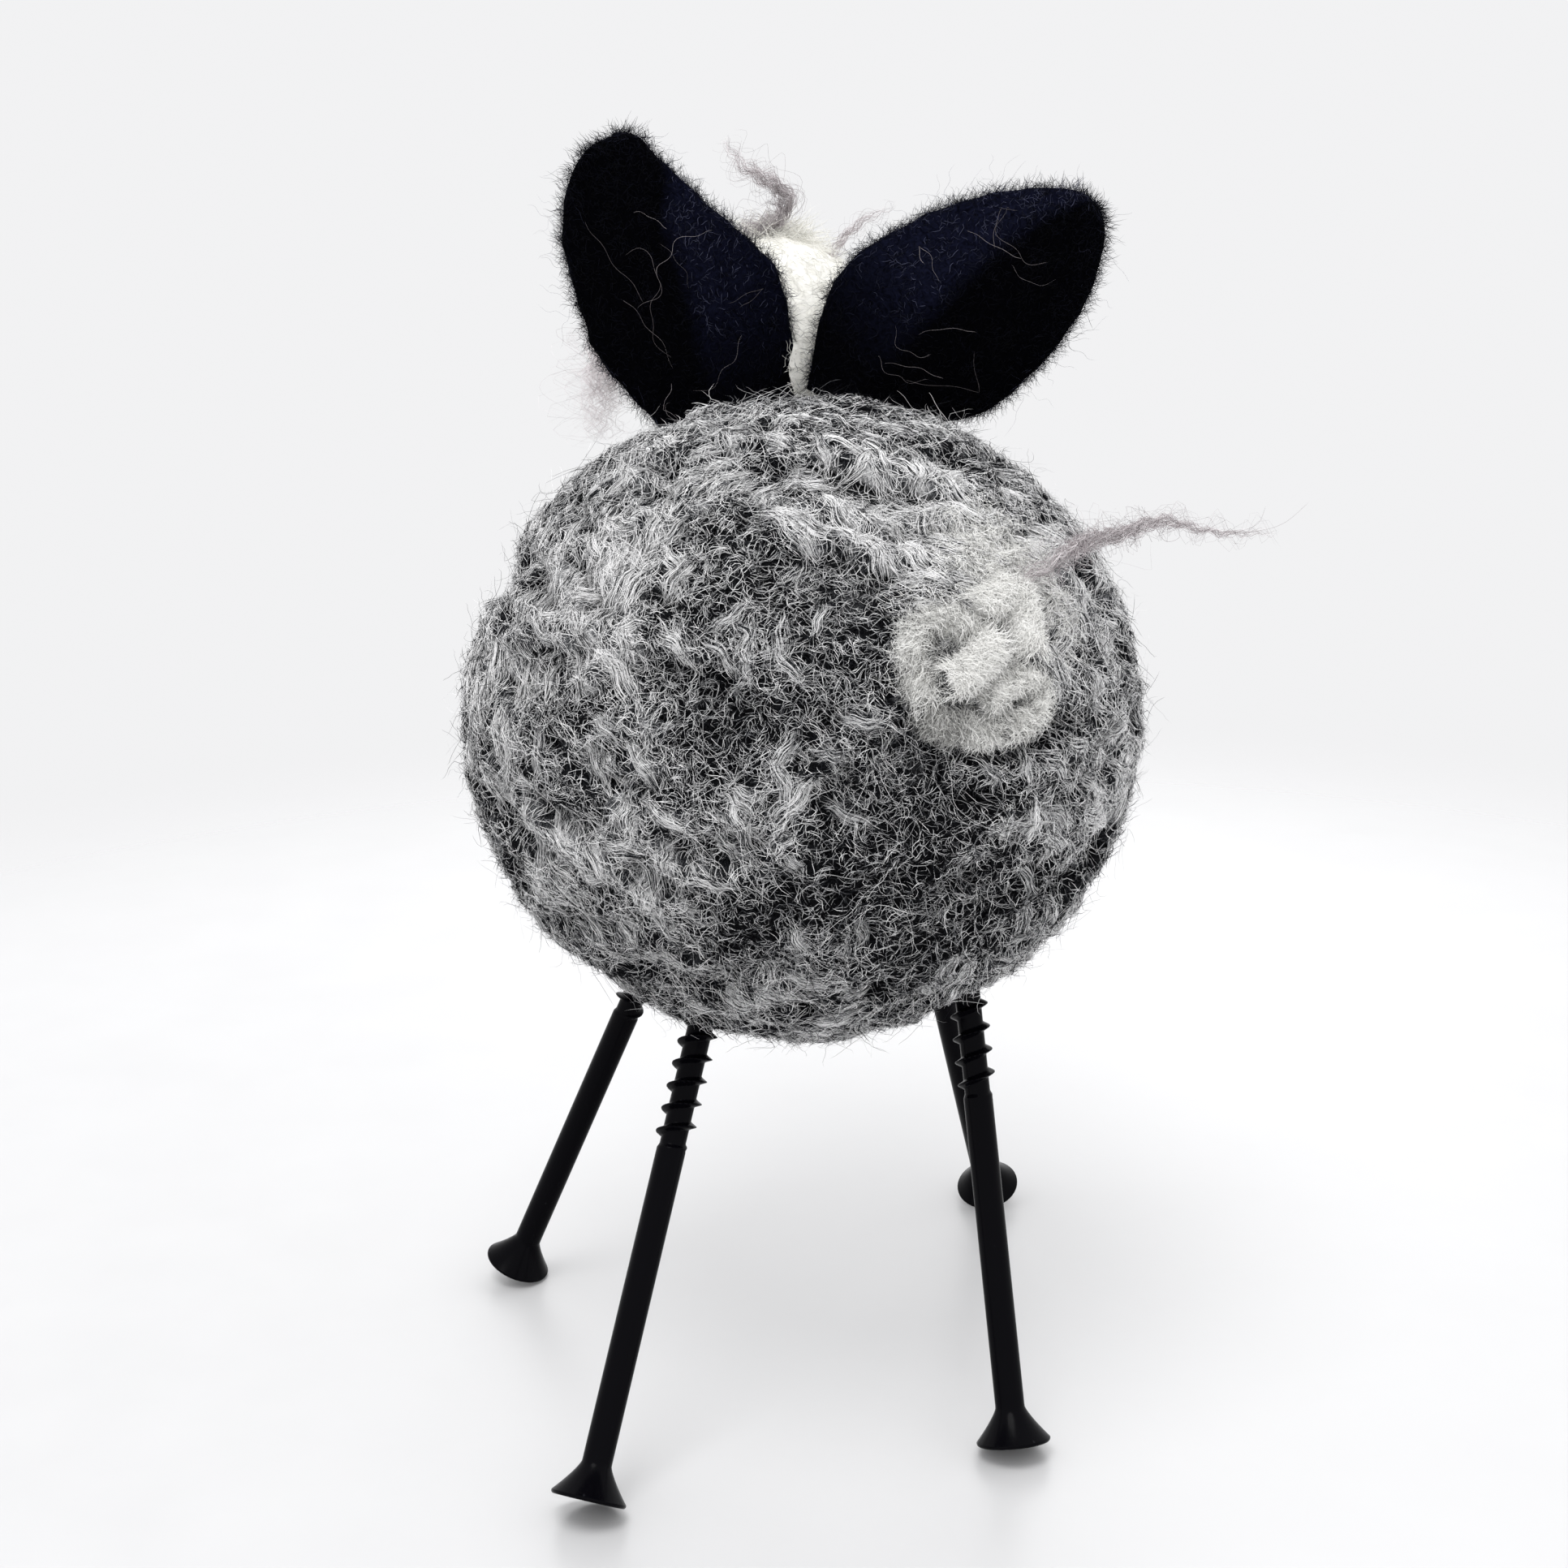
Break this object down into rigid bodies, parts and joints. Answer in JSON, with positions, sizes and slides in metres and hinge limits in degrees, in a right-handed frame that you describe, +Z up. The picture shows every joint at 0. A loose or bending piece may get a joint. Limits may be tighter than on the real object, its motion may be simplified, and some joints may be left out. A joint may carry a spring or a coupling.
{
  "type": "yarn ball animal figure",
  "caption": "Small animal figure: a ball of wound grey yarn that stands on drywall screws, with a cream felt head, folded black felt ears and a pale yarn tail.",
  "frame": {"origin": "middle of the whole figure's box, on the surface that its feet stand on", "axes": "+Z up; +Y the way the animal faces; -X its left side"},
  "size_m": [0.0889, 0.1004, 0.1443],
  "materials": {
    "core_wool": "matte",
    "grey_yarn": "matte",
    "birch": "matte",
    "cream_yarn": "matte",
    "roving": "matte",
    "cream_felt": "matte",
    "stuffing": "matte",
    "bead": "gloss",
    "nose_thread": "matte",
    "black_felt": "matte",
    "black_steel": "satin"
  },
  "bodies": {
    "body": {"core_ball": "core_wool", "yarn_wrap": "grey_yarn", "neck_peg": "birch", "tail_rosette": "cream_yarn", "tail_wisp": "roving"},
    "head": {"head_felt": "cream_felt", "head_stuffing": "stuffing", "eye_left": "bead", "eye_right": "bead", "nose_stitches": "nose_thread", "curl_top": "roving", "curl_right": "roving", "curl_left": "roving"},
    "ear_left": {"ear_left": "black_felt"},
    "ear_right": {"ear_right": "black_felt"},
    "rear_left_leg": {"rear_left_leg": "black_steel"},
    "rear_right_leg": {"rear_right_leg": "black_steel"},
    "front_left_leg": {"front_left_leg": "black_steel"},
    "front_right_leg": {"front_right_leg": "black_steel"}
  },
  "joints": [
    {"name": "rear_left_screw_turn", "type": "hinge", "parent": "body", "child": "rear_left_leg", "pos_m": [-0.0305, -0.0466, 0.00231], "axis": [0.2676, 0.4878, 0.831], "continuous": true},
    {"name": "rear_right_screw_turn", "type": "hinge", "parent": "body", "child": "rear_right_leg", "pos_m": [0.017, -0.0376, 0.00145], "axis": [-0.0562, 0.3448, 0.937], "continuous": true},
    {"name": "front_left_screw_turn", "type": "hinge", "parent": "body", "child": "front_left_leg", "pos_m": [-0.0407, 0.013, 0.00172], "axis": [0.4006, -0.1038, 0.9104], "continuous": true},
    {"name": "front_right_screw_turn", "type": "hinge", "parent": "body", "child": "front_right_leg", "pos_m": [0.0233, 0.0301, 0.00186], "axis": [-0.2048, -0.3979, 0.8943], "continuous": true},
    {"name": "head_turn", "type": "hinge", "parent": "body", "child": "head", "pos_m": [-0.0033, 0.02569, 0.10852], "axis": [0, 0.7509, 0.6605], "range_deg": [-35, 35]},
    {"name": "ear_left_bend", "type": "hinge", "parent": "head", "child": "ear_left", "pos_m": [-0.0101, 0.0114, 0.1118], "axis": [0.9406, 0, 0.3396], "range_deg": [-8, 25]},
    {"name": "ear_right_bend", "type": "hinge", "parent": "head", "child": "ear_right", "pos_m": [0.0041, 0.0114, 0.1124], "axis": [0.6063, 0, -0.7952], "range_deg": [-8, 25]}
  ]
}
